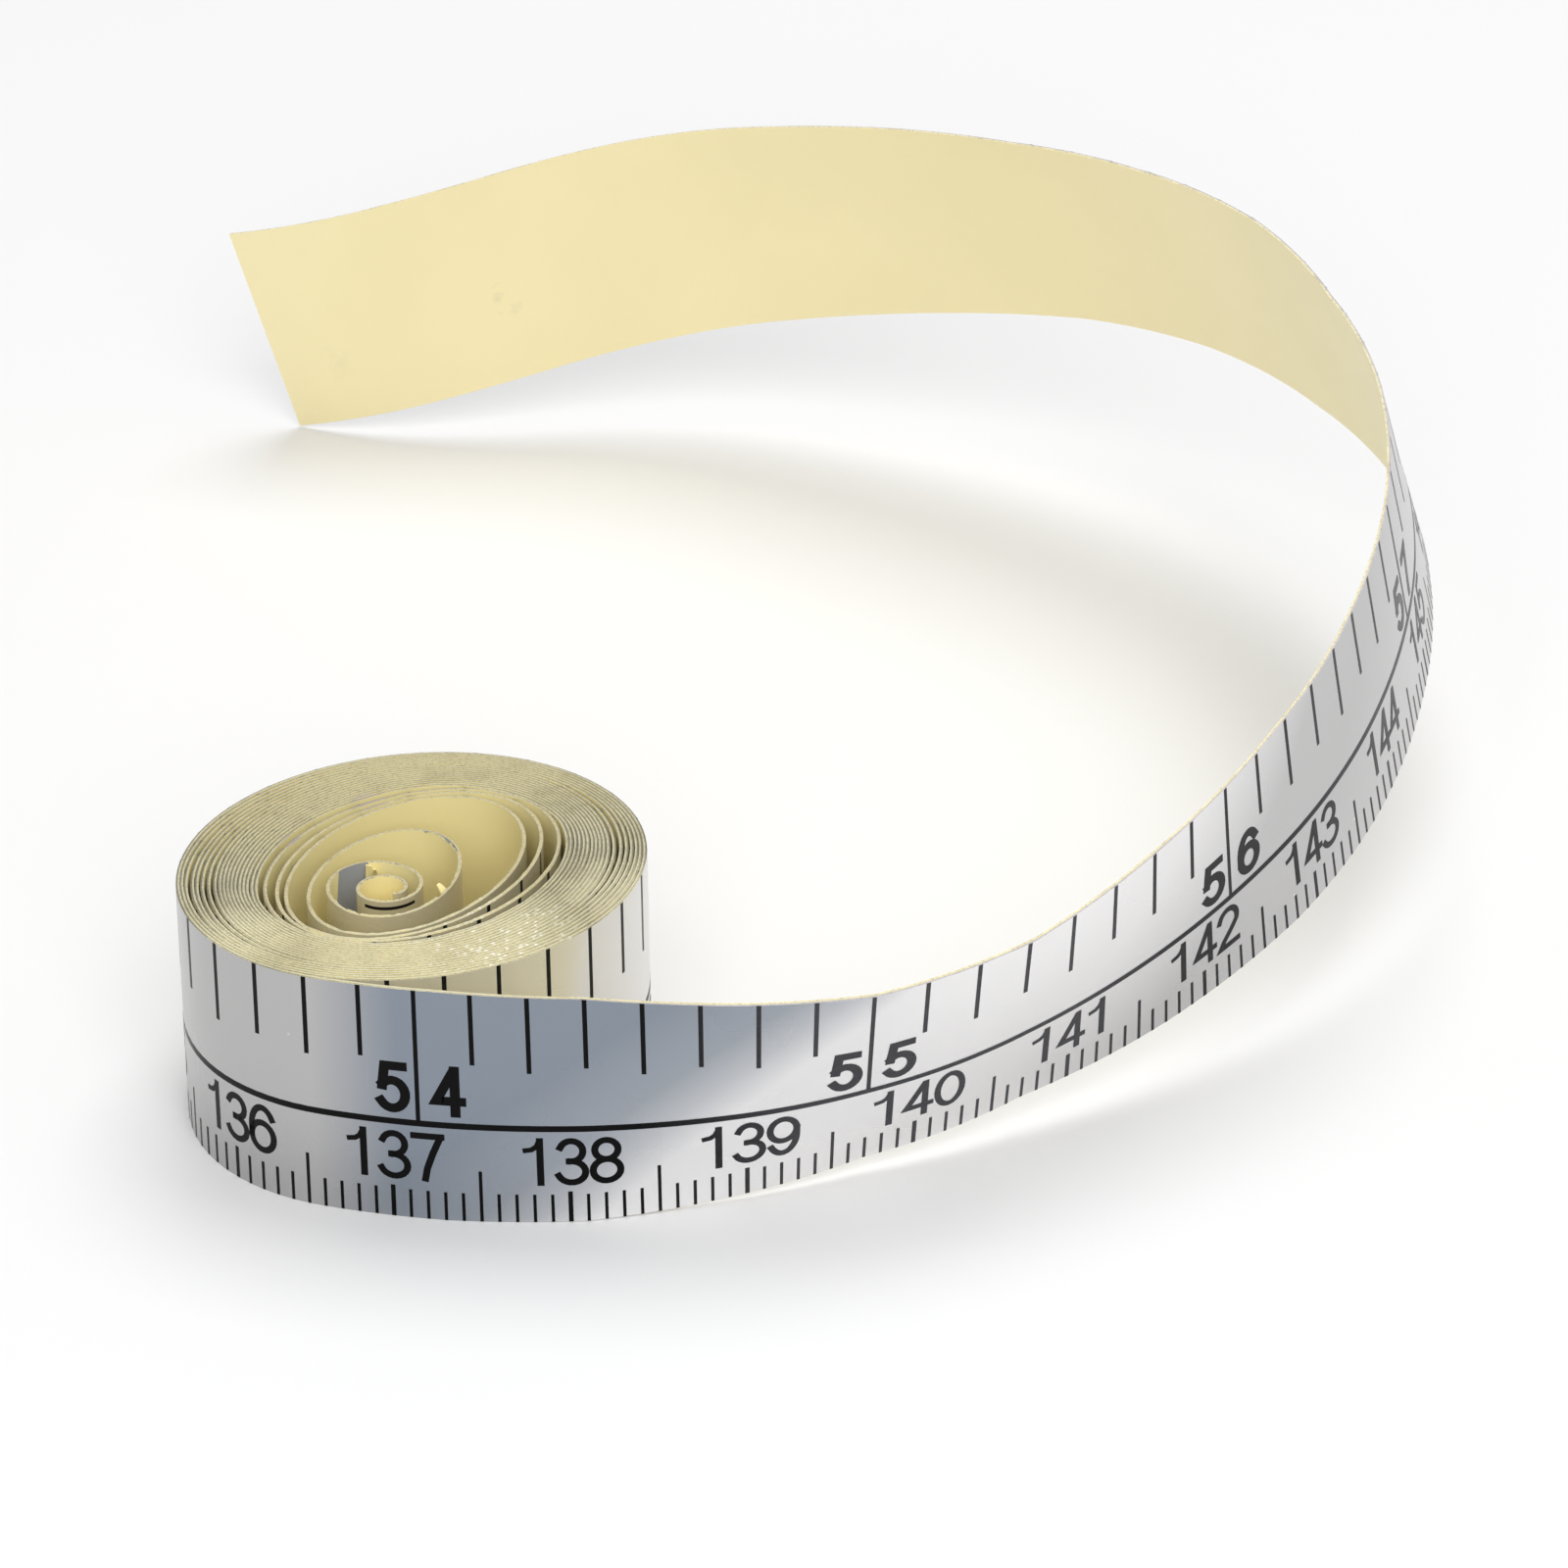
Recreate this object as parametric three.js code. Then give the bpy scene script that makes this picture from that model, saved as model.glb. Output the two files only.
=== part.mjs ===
// Self-adhesive tape measure: a printed film strip with an adhesive coat and a
// release liner, wound on edge into a coil. The outer end leaves the coil at the
// front and stands free in a rising bow that turns back behind the coil.
// Millimetres, +Z up. The coil stands on its edge at z = 0. The printed face of
// the film is the outer face, and the liner is on the inside of every bend.
import * as THREE from 'three';

// The laminate
const TAPE_WIDTH = 15;
const FILM_THICKNESS = 0.11;
const ADHESIVE_THICKNESS = 0.03;
const LINER_THICKNESS = 0.08;

// The coil's outer turn is an oval, longest at a slant to the front
const COIL_HALF_LENGTH = 13.62;
const COIL_HALF_DEPTH = 12.33;
const COIL_SLANT = 26;
const LEAVE_ANGLE = 223.84;

// Tight turns under the outer one, and the air between them at the ends and the sides of the oval
const TIGHT_TURNS = 6;
const TIGHT_GAP_ENDS = 0.55;
const TIGHT_GAP_SIDES = 0.42;

// Loose turns inside them, from the outside in: air to the turn outside on four sides
const LOOSE_GAPS = [
  { right: 1.75, back: 0.6, left: 1.5, front: 0.5 },
  { right: 3.2, back: 3.4, left: 1.2, front: 0.75 },
  { right: 1.9, back: 3.6, left: 0.85, front: 0.95 },
  { right: 0.7, back: 0.6, left: 0.95, front: 1.1 },
];
const INNER_END_TURN = 0.6;
const STEPS_PER_TURN = 24;

// The free strip, in links that flex at the lines between them. Each stretch has
// its length, its bend to the inside and its twist, top edge outwards, in degrees.
const FLEX_GAP = 0.3;
const FIRST_STRETCH = 7;
const SHORT_STRETCH = 8;
const STRETCH = 10;
const LONG_STRETCH = 11;
const TAIL_STRETCH = 13;
const LINKS = [
  [[FIRST_STRETCH, 8.7, 0], [SHORT_STRETCH, 9, 2.5], [SHORT_STRETCH, 8, 10], [SHORT_STRETCH, 10, 9]],
  [[STRETCH, 14.5, 1], [STRETCH, 10.5, -7], [LONG_STRETCH, 11, -6.5]],
  [[STRETCH, 13.5, -3], [STRETCH, 12, -1.5], [LONG_STRETCH, 14.5, -3]],
  [[STRETCH, 14.5, -3.5], [STRETCH, 15, -0.5], [LONG_STRETCH, 15, -2]],
  [[STRETCH, 10, 0], [STRETCH, 7.5, 4], [LONG_STRETCH, 11.5, 3.5]],
  [[STRETCH, 13, 1], [STRETCH, 3, 0.5], [TAIL_STRETCH, -3, 0.5]],
];
const LONGEST_STEP = 3.4;

// Layers from the printed face inwards
const FILM_BACK = FILM_THICKNESS;
const ADHESIVE_BACK = FILM_BACK + ADHESIVE_THICKNESS;
const LAMINATE = ADHESIVE_BACK + LINER_THICKNESS;
const LAYERS = {
  film: { near: 0, far: FILM_BACK, colour: 0xc6c9cf, roughness: 0.3, metalness: 0.6 },
  adhesive: { near: FILM_BACK, far: ADHESIVE_BACK, colour: 0x9aa3ab, roughness: 0.5, metalness: 0.0 },
  liner: { near: ADHESIVE_BACK, far: LAMINATE, colour: 0xf0e4b2, roughness: 0.75, metalness: 0.0 },
};

const UP = new THREE.Vector3(0, 0, 1);
const radians = THREE.MathUtils.degToRad;

// A station is a line across the tape: its middle on the printed face, the way
// along the tape, the way across it towards the top edge, and the way inwards.
function station(point, along, across) {
  const inward = new THREE.Vector3().crossVectors(across, along).normalize();
  return { point: point.clone(), along: along.clone(), across: across.clone(), inward };
}

// The sizes and centre of each turn, from the outside in
function turnOvals() {
  const tight = {
    right: TIGHT_GAP_ENDS,
    back: TIGHT_GAP_SIDES,
    left: TIGHT_GAP_ENDS,
    front: TIGHT_GAP_SIDES,
  };
  const gaps = [...Array(TIGHT_TURNS).fill(tight), ...LOOSE_GAPS];
  const ovals = [
    { halfLength: COIL_HALF_LENGTH, halfDepth: COIL_HALF_DEPTH, x: 0, y: 0, slant: COIL_SLANT },
  ];
  gaps.forEach((gap, turn) => {
    const outer = ovals[turn];
    ovals.push({
      halfLength: outer.halfLength - LAMINATE - (gap.right + gap.left) / 2,
      halfDepth: outer.halfDepth - LAMINATE - (gap.back + gap.front) / 2,
      x: outer.x + (gap.left - gap.right) / 2,
      y: outer.y + (gap.front - gap.back) / 2,
      slant: turn < TIGHT_TURNS ? COIL_SLANT : 0,
    });
  });
  return ovals;
}

// A point on the winding, counted in turns inwards from where the strip leaves
function windingPoint(ovals, turns) {
  const index = THREE.MathUtils.clamp(Math.floor(turns), 0, ovals.length - 2);
  const share = turns - index;
  const mix = (key) => THREE.MathUtils.lerp(ovals[index][key], ovals[index + 1][key], share);
  const slant = radians(mix('slant'));
  const angle = radians(LEAVE_ANGLE + COIL_SLANT) - slant - turns * 2 * Math.PI;
  const point = new THREE.Vector3();
  point.set(mix('halfLength') * Math.cos(angle), mix('halfDepth') * Math.sin(angle), TAPE_WIDTH / 2);
  point.applyAxisAngle(UP, slant);
  return point.add(new THREE.Vector3(mix('x'), mix('y'), 0));
}

// Stations along the coil, from its inner end to where the strip leaves
function coilStations() {
  const ovals = turnOvals();
  const turns = ovals.length - 2 + INNER_END_TURN;
  const count = Math.round(turns * STEPS_PER_TURN);
  const at = (step) => windingPoint(ovals, (count - step) / STEPS_PER_TURN);
  const stations = [];
  for (let step = 0; step <= count; step += 1) {
    const behind = at(step - 0.5);
    const ahead = at(step + 0.5);
    const along = ahead.sub(behind).setZ(0).normalize();
    stations.push(station(at(step), along, UP));
  }
  return stations;
}

// Stations along one link: each stretch bends and twists evenly from the last one
function linkStations(stretches, start) {
  const stations = [start];
  for (const [length, bend, twist] of stretches) {
    const count = Math.ceil(length / LONGEST_STEP);
    for (let step = 0; step < count; step += 1) {
      const last = stations.at(-1);
      const halfBend = radians(bend) / count / 2;
      const along = last.along.clone().applyAxisAngle(last.across, halfBend);
      const point = last.point.clone().addScaledVector(along, length / count);
      const across = last.across.clone().applyAxisAngle(along, radians(twist) / count);
      along.applyAxisAngle(across, halfBend);
      stations.push(station(point, along, across));
    }
  }
  return stations;
}

// A run of stations drawn back from the flex lines at its ends
function trimmed(stations, atStart, atEnd) {
  const run = stations.map((one) => ({ ...one, point: one.point.clone() }));
  run[0].point.addScaledVector(run[0].along, atStart);
  run.at(-1).point.addScaledVector(run.at(-1).along, -atEnd);
  return run;
}

// One layer of the laminate along a run of stations, as a closed solid
function layerGeometry(stations, near, far) {
  const corners = [];
  for (const { point, across, inward } of stations) {
    for (const [depth, side] of [[near, -1], [near, 1], [far, 1], [far, -1]]) {
      const corner = point.clone().addScaledVector(inward, depth);
      corners.push(corner.addScaledVector(across, side * TAPE_WIDTH / 2));
    }
  }
  const index = [];
  const end = 4 * (stations.length - 1);
  for (let a = 0; a < end; a += 4) {
    const b = a + 4;
    index.push(a, b, b + 1, a, b + 1, a + 1);
    index.push(a + 1, b + 1, b + 2, a + 1, b + 2, a + 2);
    index.push(b + 3, a + 3, b + 2, a + 3, a + 2, b + 2);
    index.push(a, a + 3, b + 3, a, b + 3, b);
  }
  index.push(0, 1, 2, 0, 2, 3);
  index.push(end, end + 2, end + 1, end, end + 3, end + 2);
  const geometry = new THREE.BufferGeometry().setFromPoints(corners);
  geometry.setIndex(index);
  geometry.computeVertexNormals();
  return geometry;
}

function layerMesh(layer, name, stations) {
  const { near, far, colour, roughness, metalness } = LAYERS[layer];
  const material = new THREE.MeshStandardMaterial({ color: colour, roughness, metalness });
  const mesh = new THREE.Mesh(layerGeometry(stations, near, far), material);
  mesh.name = name;
  return mesh;
}

// The least air between turns of the coil, on points along its two faces
function leastTurnGap(stations) {
  let least = Infinity;
  const inner = stations.map(({ point, inward }) => point.clone().addScaledVector(inward, LAMINATE));
  const half = STEPS_PER_TURN / 2;
  for (let i = 0; i < stations.length; i += 1) {
    for (let j = 0; j + 1 < stations.length; j += 1) {
      if (Math.abs(i - j) < half) continue;
      const span = new THREE.Line3(stations[j].point, stations[j + 1].point);
      const nearest = span.closestPointToPoint(inner[i], true, new THREE.Vector3());
      least = Math.min(least, nearest.distanceTo(inner[i]));
    }
  }
  return least;
}

const tape = new THREE.Group();
const coil = coilStations();
const coilRun = trimmed(coil, 0, FLEX_GAP / 2);
for (const layer of Object.keys(LAYERS)) {
  tape.add(layerMesh(layer, `${layer}_coil`, coilRun));
}
console.log(`least gap between turns ${leastTurnGap(coilRun).toFixed(3)} mm`);

let start = coil.at(-1);
LINKS.forEach((stretches, number) => {
  const stations = linkStations(stretches, start);
  const isLast = number === LINKS.length - 1;
  const run = trimmed(stations, FLEX_GAP / 2, isLast ? 0 : FLEX_GAP / 2);
  for (const layer of Object.keys(LAYERS)) {
    tape.add(layerMesh(layer, `${layer}_strip_${number + 1}`, run));
  }
  start = stations.at(-1);
});

// The frame's origin is the middle of the whole shape, on the plane it stands on
const middle = new THREE.Box3().setFromObject(tape).getCenter(new THREE.Vector3());
for (const mesh of tape.children) {
  mesh.geometry.translate(-middle.x, -middle.y, 0);
}
console.log(`coil axis at ${(-middle.x).toFixed(4)}, ${(-middle.y).toFixed(4)} mm`);

export default tape;
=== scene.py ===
"""Models a wound self-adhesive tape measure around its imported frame.

The tape is a printed film with an adhesive coat and a release liner. It is laid
along one line: in from the core of the coil, round every turn, and out along the
free strip, which bends across the frame's flex lines.
"""

import bisect
import math
import random
from dataclasses import dataclass

import bmesh
import bpy
from bpy.props import FloatProperty, FloatVectorProperty, PointerProperty
from mathutils import Matrix, Vector


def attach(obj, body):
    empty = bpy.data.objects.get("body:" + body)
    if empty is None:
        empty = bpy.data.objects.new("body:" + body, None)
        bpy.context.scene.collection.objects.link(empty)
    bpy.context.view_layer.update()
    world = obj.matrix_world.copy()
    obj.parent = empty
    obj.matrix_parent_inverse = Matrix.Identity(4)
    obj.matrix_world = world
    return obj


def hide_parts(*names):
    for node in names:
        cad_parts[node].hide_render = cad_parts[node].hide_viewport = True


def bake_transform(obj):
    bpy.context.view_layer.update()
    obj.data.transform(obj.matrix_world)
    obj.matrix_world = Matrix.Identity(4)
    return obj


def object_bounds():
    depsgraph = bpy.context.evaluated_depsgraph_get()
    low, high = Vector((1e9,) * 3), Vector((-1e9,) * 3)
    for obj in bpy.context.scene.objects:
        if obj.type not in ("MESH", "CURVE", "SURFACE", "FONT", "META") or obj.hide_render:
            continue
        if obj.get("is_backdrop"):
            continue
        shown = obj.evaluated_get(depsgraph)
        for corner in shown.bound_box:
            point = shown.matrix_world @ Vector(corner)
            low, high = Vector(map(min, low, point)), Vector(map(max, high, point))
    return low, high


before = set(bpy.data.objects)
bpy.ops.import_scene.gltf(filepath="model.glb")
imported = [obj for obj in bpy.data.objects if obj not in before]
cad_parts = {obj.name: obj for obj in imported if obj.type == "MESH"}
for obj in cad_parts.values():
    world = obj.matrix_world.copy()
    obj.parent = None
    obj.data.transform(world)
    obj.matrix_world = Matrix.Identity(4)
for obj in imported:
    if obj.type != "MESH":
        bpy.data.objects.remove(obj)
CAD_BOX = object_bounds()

bl_info = {
    "name": "Adhesive Tape Measure",
    "version": (1, 0, 0),
    "blender": (4, 5, 0),
    "location": "3D View > Sidebar > Tape Measure",
    "description": "Models a wound self-adhesive tape measure around its packed frame",
    "category": "Add Mesh",
}

# Lengths are in millimetres on the tape and in the coil, and in metres in the frame
MM = 0.001
INCH = 25.4
COIL_AXIS = Vector((-23.1158, -32.2606, 0.0))

# Where the strip leaves the coil: the reading on the scale, and the place on the oval outer turn
LEAVE_MARK = 1366.0
LEAVE_ANGLE = 223.84
LEAVE_HEADING = -17.8
COIL_HALF_LENGTH = 13.62
COIL_HALF_DEPTH = 12.33
COIL_SLANT = 26.0

# Sides of the coil are in one order: left, back, right, front. The tight turns: how far the last
# one reaches on each side, and how the air between them is shared out there, from the outside in
TIGHT_TURNS = 17
TIGHT_END = (8.95, 8.65, 8.85, 8.54)
TIGHT_AIR = (
    (1, 1, 4, 14, 4, 9, 13, 13, 5, 1, 1, 1, 1, 3, 1, 1, 5, 2),
    (1,) * 18,
    (1, 2, 3, 6, 8, 10, 17, 11, 3, 1, 1, 1, 4, 1, 3, 3, 4, 6),
    (1,) * 18,
)

# The loose turns inside them: how far each one reaches on each side of the coil's axis
LOOSE_TURNS = (
    (-8.4, 8.15, 8.4, -8.1),
    (-7.69, 7.7, 7.39, -7.7),
    (-7.2, 7.37, 6.52, -7.27),
    (-5.93, 4.45, 2.95, -5.6),
    (-4.9, 0.6, 0.75, -4.18),
    (-3.21, -1.0, -0.15, -3.3),
    (-1.52, -2.6, -1.05, -1.7),
)
LOOSE_TURN_COUNT = 6.93

# Turns at which the oval's slant starts to go, and over which it is gone
STRAIGHTENS_FROM = 17.2
STRAIGHTENS_OVER = 0.9

# How far the turns lean: the shift to the back for each millimetre to the right, by turns
LEANS = (
    (0.0, 0.0), (17.0, 0.19), (18.0, 0.22), (19.0, 0.29), (20.0, 0.37),
    (21.6, 0.37), (22.1, 0.05), (22.4, 0.0),
)

# Turns that are drawn in clear of the turn around them, and the steps looked at on either side
SETTLED_TURNS = 21
SETTLE_REACH = 8

STEPS_PER_TURN = 96
KNOT_MARGIN = 1.001

# The free strip: length of each stretch, its bend inwards and its twist, in degrees
LINK_LENGTH = 31.0
STRETCHES = (
    (7, 8.7, 0), (8, 9, 2.5), (8, 8, 10), (8, 10, 9),
    (10, 14.5, 1), (10, 10.5, -7), (11, 11, -6.5),
    (10, 13.5, -3), (10, 12, -1.5), (11, 14.5, -3),
    (10, 15, -4.5), (10, 14, 1), (11, 14.5, -2.5),
    (10, 11, 0), (10, 7.5, 4), (11, 8, 3.5),
    (8, 14, 1), (8, 10, 0), (8, -4, 0.5), (10, -18, 0.5),
)
STRETCH_STEP = 0.34
CROSS_CUTS = 7

# Where a length of liner is missing inside the coil, in turns from where the strip leaves
BARE_TURNS = (22.26, 22.395)
TEAR_DEPTH = 0.25

# Lengths in the coil whose upper edge is nicked, and how deep
RAGS = (((21.5, 21.8), 0.3), ((17.5, 21.5), 0.06), ((21.8, 23.9), 0.1))

# The free strip's links, how far a length's flex range reaches on either side of its flex line, how far
# the first link reaches back over the coil, and how far past its line the liner's peel starts
LINKS = 6
FLEX_REACH = 12.0
COIL_OVERLAP = 6.0
PEEL_GAP = 0.3


def millimetres(name, description, default):
    return FloatProperty(name=name, description=description, default=default * MM, unit="LENGTH")


def tint(name, description, red, green, blue):
    return FloatVectorProperty(
        name=name, description=description, default=(red, green, blue), subtype="COLOR")


class TapeSizes(bpy.types.PropertyGroup):
    """Sizes of the tape"""

    width: millimetres("Width", "Width of the tape", 15)
    film: millimetres("Film", "Thickness of the printed film", 0.07)
    adhesive: millimetres("Adhesive", "Thickness of the adhesive coat", 0.03)
    liner: millimetres("Liner", "Thickness of the release liner", 0.11)
    liner_rise: millimetres("Liner rise", "How far the liner stands above the film's upper edge", 0.04)


class ScaleSizes(bpy.types.PropertyGroup):
    """Sizes of the printed scale"""

    divider_drop: millimetres("Divider", "From the upper edge to the dividing line", 8.7)
    divider_thickness: millimetres("Divider thickness", "Thickness of the dividing line", 0.39)
    inch_digit_height: millimetres("Inch numerals", "Height of the inch numerals", 3.35)
    centimetre_digit_height: millimetres("Centimetre numerals", "Height of the centimetre numerals", 3.22)
    lift: millimetres("Lift", "How far the ink stands off the film", 0.015)


class TapeColours(bpy.types.PropertyGroup):
    """Colours of the tape and the stage"""

    film: tint("Film", "Silver of the printed film", 0.96, 0.95, 0.945)
    # Painted reflection: the deep blue-grey the film is given where it opens out of the coil
    film_deep: tint(
        "Film, deep", "Deeper silver of the film where it opens out of the coil", 0.25, 0.285, 0.335)
    ink: tint("Ink", "Ink of the scale", 0.008, 0.008, 0.009)
    liner: tint("Liner", "Pale yellow of the release liner", 0.875, 0.77, 0.45)
    # Painted bounce light: the brighter, deeper yellow the liner is given inside the coil
    liner_wound: tint(
        "Liner, wound", "Deeper yellow of the release liner inside the coil", 0.97, 0.85, 0.425)
    # Painted light: the paler yellow the liner is given along the bend
    liner_pale: tint(
        "Liner, pale", "Paler yellow of the release liner along the bend", 0.96, 0.88, 0.58)
    # Painted shade: the liner's cut edge is darker in the coil, between the turns, than along the strip
    liner_edge: tint("Liner edge", "Cut edge of the liner in the coil", 0.54, 0.5, 0.33)
    liner_edge_pale: tint("Liner edge, pale", "Cut edge of the liner along the strip", 0.82, 0.75, 0.47)
    adhesive: tint("Adhesive", "Grey of the adhesive over the film's back", 0.37, 0.385, 0.41)
    # Painted shade: the film's cut edge is near black in the coil, between the turns
    edge: tint("Film edge", "Cut edge of the film in the coil", 0.2, 0.19, 0.13)
    edge_pale: tint("Film edge, pale", "Cut edge of the film along the strip", 0.56, 0.53, 0.54)
    edge_core: tint("Edge, core", "Cut edges of the loose turns at the core", 0.55, 0.49, 0.29)
    floor: tint("Floor", "Floor and backdrop", 0.84, 0.84, 0.84)


def sizes():
    return bpy.context.scene.tape_sizes


def scale_sizes():
    return bpy.context.scene.tape_scale


def colours():
    return bpy.context.scene.tape_colours


# The line that the tape is laid along


class Station:
    """A line across the tape: its reading, its middle on the printed face, and three directions."""

    def __init__(self, mark, point, along, across):
        self.mark = mark
        self.point = point
        self.along = along
        self.across = across
        self.inward = across.cross(along).normalized()

    def place(self, across, depth):
        point = self.point + self.across * across + self.inward * depth
        return (point + COIL_AXIS) * MM


def between(a, b, share):
    return Station(
        a.mark + (b.mark - a.mark) * share,
        a.point.lerp(b.point, share),
        a.along.lerp(b.along, share).normalized(),
        a.across.lerp(b.across, share).normalized(),
    )


def side_reaches(laminate):
    """How far every turn reaches on each side, from the outside in, with uneven air between turns."""
    starts = (-COIL_HALF_LENGTH, COIL_HALF_DEPTH, COIL_HALF_LENGTH, -COIL_HALF_DEPTH)
    reaches = []
    for side, (start, end, shares) in enumerate(zip(starts, TIGHT_END, TIGHT_AIR)):
        reach = abs(start)
        sign = math.copysign(1, start)
        passed = (LEAVE_ANGLE - (180 - 90 * side)) / 360
        air = reach - end - laminate * (TIGHT_TURNS + passed)
        knots = [sign * (reach + laminate)]
        for turn, share in enumerate(shares):
            step = laminate * (passed if turn == 0 else 1.0)
            reach -= step + air * share / sum(shares)
            knots.append(sign * reach)
        knots += [turn[side] for turn in LOOSE_TURNS]
        reaches.append((passed, knots))
    return reaches


def reach_at(reaches, turns):
    """Reach on one side after so many turns, on a smooth curve through the turns' own values."""
    passed, knots = reaches
    place = min(max(turns - passed + 1, 0.0), len(knots) - KNOT_MARGIN)
    index = int(place)
    share = place - index
    a = knots[max(index - 1, 0)]
    b = knots[index]
    c = knots[index + 1]
    d = knots[min(index + 2, len(knots) - 1)]
    slope_b = (c - a) / 2
    slope_c = (d - b) / 2
    square = share * share
    cube = square * share
    return (b * (2 * cube - 3 * square + 1) + slope_b * (cube - 2 * square + share)
            + c * (3 * square - 2 * cube) + slope_c * (cube - square))


def lean_at(turns):
    for (start, low), (end, high) in zip(LEANS, LEANS[1:]):
        if turns <= end:
            return low + (high - low) * max(turns - start, 0.0) / (end - start)
    return LEANS[-1][1]


def winding_point(reaches, turns, half_width):
    left, back, right, front = (reach_at(side, turns) for side in reaches)
    straightened = min(max((turns - STRAIGHTENS_FROM) / STRAIGHTENS_OVER, 0.0), 1.0)
    slant = math.radians(COIL_SLANT) * (1 - straightened)
    angle = math.radians(LEAVE_ANGLE + COIL_SLANT) - slant - turns * 2 * math.pi
    point = Vector((
        (right + left) / 2 + (right - left) / 2 * math.cos(angle),
        (back + front) / 2 + (back - front) / 2 * math.sin(angle),
        half_width,
    ))
    point = Matrix.Rotation(slant, 3, "Z") @ point
    point.y += lean_at(turns) * point.x
    return point


def settle(points, laminate):
    """Draws every turn in to where it just clears the turn around it."""
    last = len(points) - 1
    for index in range(last - STEPS_PER_TURN, last - SETTLED_TURNS * STEPS_PER_TURN, -1):
        place = points[index].xy
        outward = place.normalized()
        middle = index + STEPS_PER_TURN
        around = points[middle - SETTLE_REACH:middle + SETTLE_REACH + 1]
        for a, b in zip(around, around[1:]):
            way = b.xy - a.xy
            if a.xy.cross(outward) * b.xy.cross(outward) > 0:
                continue
            reach = a.xy.cross(way) / outward.cross(way)
            reach -= laminate / abs(outward.cross(way.normalized()))
            if place.length > reach:
                points[index].xy = outward * reach
            break


def wound_stations(half_width, laminate):
    """Stations of the coil, from its core to where the strip leaves."""
    reaches = side_reaches(laminate)
    turns = TIGHT_TURNS + LOOSE_TURN_COUNT
    count = round(turns * STEPS_PER_TURN)
    points = []
    for step in range(count + 1):
        points.append(winding_point(reaches, (count - step) / STEPS_PER_TURN, half_width))
    settle(points, laminate)
    heading = math.radians(LEAVE_HEADING)
    leaving = Vector((math.cos(heading), math.sin(heading), 0.0))
    alongs = [(points[step + 1] - points[max(step - 1, 0)]).normalized() for step in range(count)]
    marks = [LEAVE_MARK]
    for step in range(count, 0, -1):
        marks.append(marks[-1] - (points[step] - points[step - 1]).length)
    marks.reverse()
    up = Vector((0.0, 0.0, 1.0))
    return [Station(*facts, up) for facts in zip(marks, points, alongs + [leaving])]


def strip_stations(start):
    """Stations of the free strip, after the one where it leaves the coil."""
    stations = [start]
    for length, bend, twist in STRETCHES:
        count = round(length / STRETCH_STEP)
        half_bend = math.radians(bend) / count / 2
        step_twist = math.radians(twist) / count
        for _ in range(count):
            last = stations[-1]
            along = Matrix.Rotation(half_bend, 3, last.across) @ last.along
            point = last.point + along * (length / count)
            across = Matrix.Rotation(step_twist, 3, along) @ last.across
            along = Matrix.Rotation(half_bend, 3, across) @ along
            stations.append(Station(last.mark + length / count, point, along, across))
    return stations[1:]


class TapeLine:
    """The whole line of the tape, in order of its readings."""

    def __init__(self):
        tape = sizes()
        laminate = (tape.film + tape.adhesive + tape.liner) / MM
        wound = wound_stations(tape.width / MM / 2, laminate)
        self.leave_index = len(wound) - 1
        self.stations = wound + strip_stations(wound[-1])
        self.marks = [station.mark for station in self.stations]
        self.first = self.marks[0]
        self.last = self.marks[-1]

    def at(self, mark):
        index = min(max(bisect.bisect_right(self.marks, mark) - 1, 0), len(self.marks) - 2)
        a = self.stations[index]
        b = self.stations[index + 1]
        return between(a, b, (mark - a.mark) / (b.mark - a.mark))

    def mark_after(self, turns):
        """The reading so many turns into the coil from where the strip leaves."""
        return self.marks[self.leave_index - round(turns * STEPS_PER_TURN)]

    def run(self, first, last):
        least = STRETCH_STEP / 4
        inside = [station for station in self.stations if first + least < station.mark < last - least]
        return [self.at(first), *inside, self.at(last)]


@dataclass
class Section:
    """A length of tape that is one piece: it rides on one body, or, across a flex line, stays where it is
    laid between two.
    """

    name: str
    first: float
    last: float
    bodies: tuple
    flex: tuple = None

    def carry(self, line, piece):
        if self.flex is None:
            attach(piece, self.bodies[0])
        else:
            start, end = (line.at(mark).place(0, 0) for mark in self.flex)
            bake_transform(piece)


def tape_sections(line):
    """The wound length, and one length across each flex line of the free strip."""
    sections = [Section("wound", line.first, LEAVE_MARK - COIL_OVERLAP, ("coil",))]
    bodies = ["coil"] + [f"strip_{number}" for number in range(1, LINKS + 1)]
    for number in range(1, LINKS + 1):
        flex = LEAVE_MARK + LINK_LENGTH * (number - 1)
        first = sections[-1].last
        last = line.last if number == LINKS else flex + LINK_LENGTH / 2
        flex_from = flex if number == 1 else flex - FLEX_REACH
        flex_to = flex if number == LINKS else flex + FLEX_REACH
        pair = (bodies[number - 1], bodies[number])
        sections.append(Section(f"strip_{number}", first, last, pair, (flex_from, flex_to)))
    return sections


# Meshes


def finish_piece(name, bm, materials):
    """A finished mesh object with its place in its mesh."""
    mesh = bpy.data.meshes.new(name)
    bm.to_mesh(mesh)
    bm.free()
    piece = bpy.data.objects.new(name, mesh)
    bpy.context.scene.collection.objects.link(piece)
    for material in materials:
        mesh.materials.append(material)
    return piece


def map_tape(bm, place):
    """Gives a mesh the UV map that materials read: reading and height on the tape, in tape widths."""
    width = sizes().width / MM
    uv = bm.loops.layers.uv.new("tape")
    for face in bm.faces:
        for loop in face.loops:
            reading, height = place(loop.vert.co)
            loop[uv].uv = (reading / width, height / width)


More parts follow.
